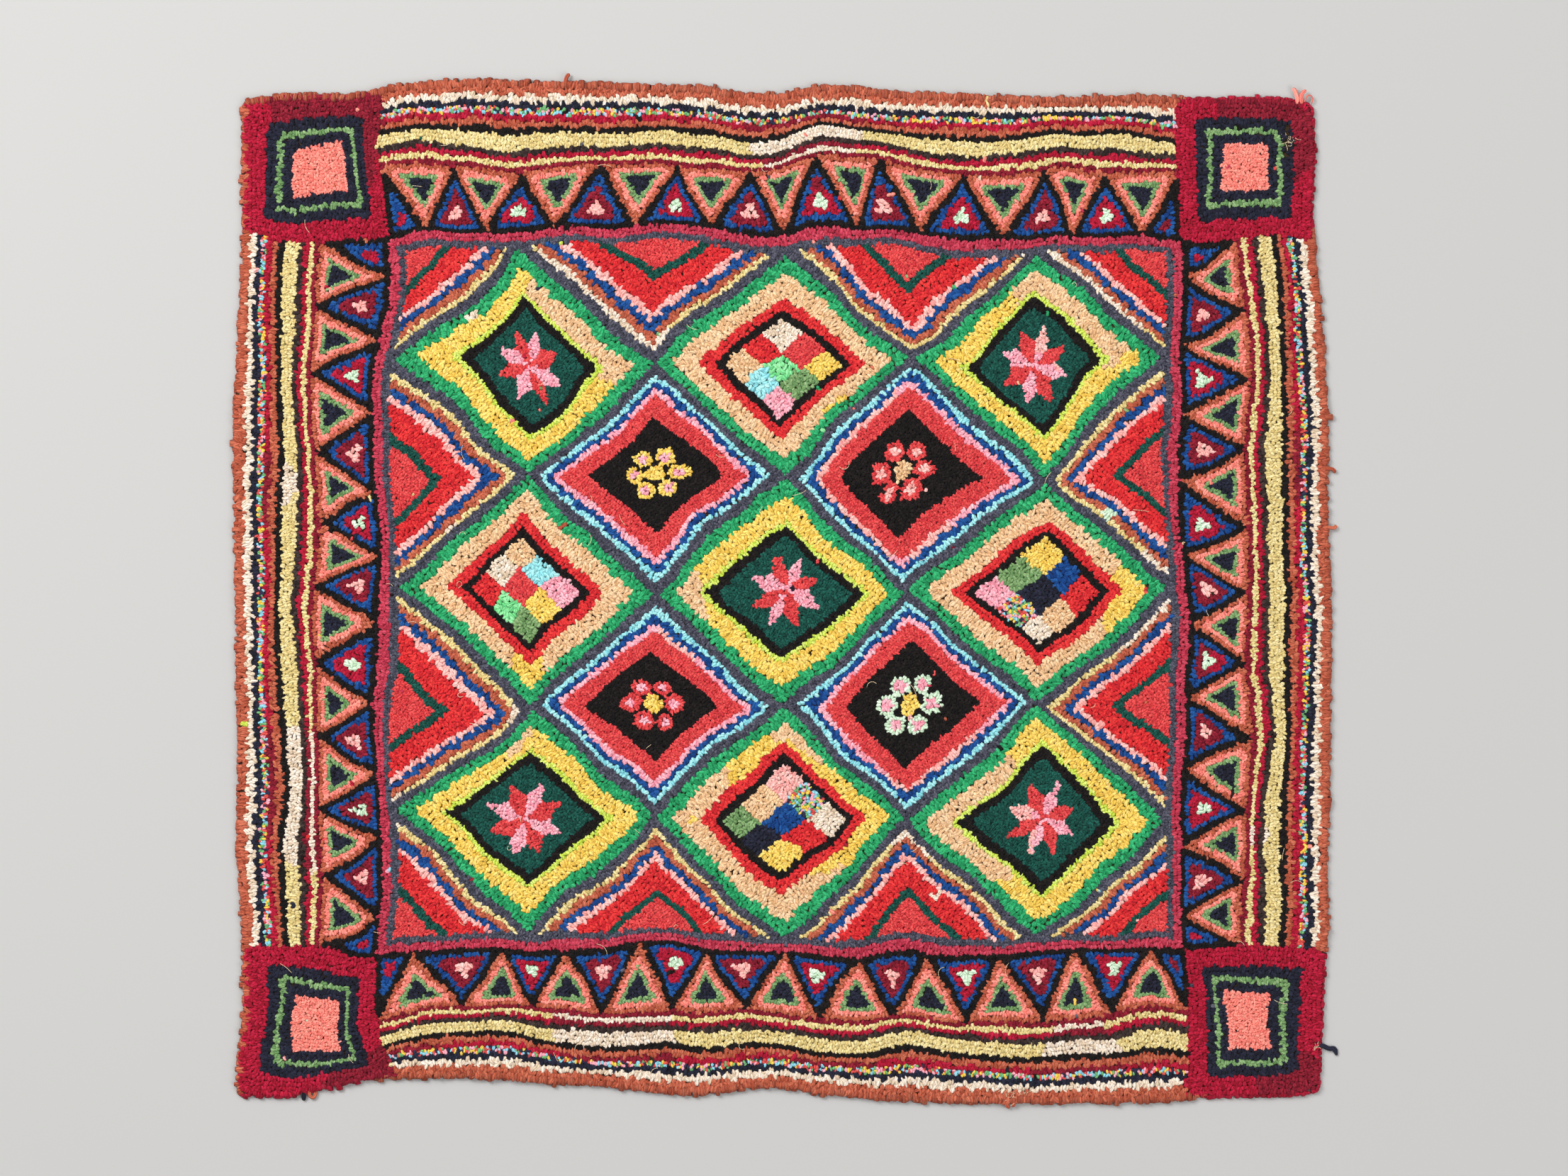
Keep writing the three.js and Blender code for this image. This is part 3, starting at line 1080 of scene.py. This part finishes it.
def rag_material(name):
    """Jersey rag: a shade for each loop, with painted shade towards its root and in its crease valleys.
    """
    material, tree, shader = new_material("rag_" + name, RAG_ROUGHNESS, RAG_SHEEN)
    colour = add_ramp(tree, add_number(tree, "tone"), RAGS[name].shades, RAGS[name].flecked)
    # Painted shade towards the root: lower points are darker
    colour = add_multiply(tree, colour, add_number(tree, "depth"), ROOT_SHADE)
    folds = add_creases(tree)
    # Painted shade in the crease valleys
    colour = add_multiply(tree, colour, folds, FOLD_SHADE)
    tree.links.new(colour, shader.inputs["Base Color"])
    add_bump(tree, shader, folds, 1.0, FOLD_DEPTH)
    return material


def burlap_material(name, shades):
    """Plain woven burlap: crossed threads with uneven shades."""
    material, tree, shader = new_material(name, BURLAP_ROUGHNESS, BURLAP_SHEEN)
    place = tree.nodes.new("ShaderNodeTexCoord")
    threads = []
    for direction in ("X", "Y"):
        wave = tree.nodes.new("ShaderNodeTexWave")
        wave.bands_direction = direction
        wave.inputs["Scale"].default_value = BURLAP_THREADS
        wave.inputs["Distortion"].default_value = BURLAP_SWAY
        tree.links.new(place.outputs["Object"], wave.inputs["Vector"])
        threads.append(wave.outputs["Fac"])
    weave = tree.nodes.new("ShaderNodeMath")
    weave.operation = "MAXIMUM"
    for thread, socket in zip(threads, weave.inputs):
        tree.links.new(thread, socket)
    colour = add_ramp(tree, add_noise(tree, BURLAP_PATCHES, 3.0), shades)
    colour = add_multiply(tree, colour, weave.outputs["Value"], BURLAP_SHADE)
    tree.links.new(colour, shader.inputs["Base Color"])
    add_bump(tree, shader, weave.outputs["Value"], BURLAP_BUMP, BURLAP_DEPTH)
    return material


# Hooking
loops = fitted(gap_filled(laid_out(rag_changes(thinned(pattern_loops())))))
loops = loops[off_split(loops["at"])]
tops = pile_top(loops["at"])
materials = {RAG_NAMES[k]: rag_material(RAG_NAMES[k]) for k in np.unique(loops["rag"])}
pile = []
for name, material in materials.items():
    chosen = loops["rag"] == RAG_NAMES.index(name)
    pile.append(loop_piece("loops_" + name, loops[chosen], tops[chosen], material))

pile += edge_pieces(materials)
for name in sorted({end[0] for end in LOOSE_ENDS}):
    _, widths, thicknesses, lines = zip(*(end for end in LOOSE_ENDS if end[0] == name))
    pile.append(strand_piece("loose_" + name, lines, widths, thicknesses, materials[name]))
fibre_material = burlap_material("fibre", FIBRE_SHADES)
pile.append(strand_piece("fibres", fibre_lines(), FIBRE_RADIUS, FIBRE_RADIUS, fibre_material))
# The foundation's burlap is drawn in darkened tones as painted shade
foundation = foundation_piece(burlap_material("burlap", BURLAP_PAINTED_SHADE_TONES))

# Floor, light and camera
floor_mesh = bpy.data.meshes.new("floor")
floor_corners = [(x * FLOOR_HALF, y * FLOOR_HALF, 0) for x, y in ((-1, -1), (1, -1), (1, 1), (-1, 1))]
floor_mesh.from_pydata(floor_corners, [], [(0, 1, 2, 3)])
floor = bpy.data.objects.new("floor", floor_mesh)
bpy.context.scene.collection.objects.link(floor)
floor_material, _, floor_shader = new_material("floor_paint", FLOOR_ROUGHNESS, 0.0)
floor_shader.inputs["Base Color"].default_value = FLOOR_SHADE
floor_mesh.materials.append(floor_material)


def area_light(name, place, size, power):
    """Soft square light aimed at the rug."""
    light = bpy.data.lights.new(name, "AREA")
    light.size = size
    light.energy = power
    lamp = bpy.data.objects.new(name, light)
    lamp.location = place
    lamp.rotation_euler = (-Vector(place)).to_track_quat("-Z", "Y").to_euler()
    bpy.context.scene.collection.objects.link(lamp)


for light_row in LIGHTS:
    area_light(*light_row)

world = bpy.data.worlds.new("studio")
bpy.context.scene.world = world
world.use_nodes = True
world.node_tree.nodes["Background"].inputs["Color"].default_value = (1, 1, 1, 1)
world.node_tree.nodes["Background"].inputs["Strength"].default_value = SKY_STRENGTH
bpy.context.scene.view_settings.view_transform = "Standard"

# Camera straight above the rug, its place in metres
PHOTO_WIDTH = 2212
MM_PER_PIXEL = 0.94
LENS = 100.0
SENSOR_WIDTH = 36.0
CAMERA_X = 0.0024
CAMERA_Y = 0.0045
camera_data = bpy.data.cameras.new("camera")
camera_data.lens = LENS
camera_data.sensor_width = SENSOR_WIDTH
camera = bpy.data.objects.new("camera", camera_data)
distance = PHOTO_WIDTH * MM_PER_PIXEL * MM * LENS / SENSOR_WIDTH
camera.location = (CAMERA_X, CAMERA_Y, distance)
bpy.context.scene.collection.objects.link(camera)
bpy.context.scene.camera = camera
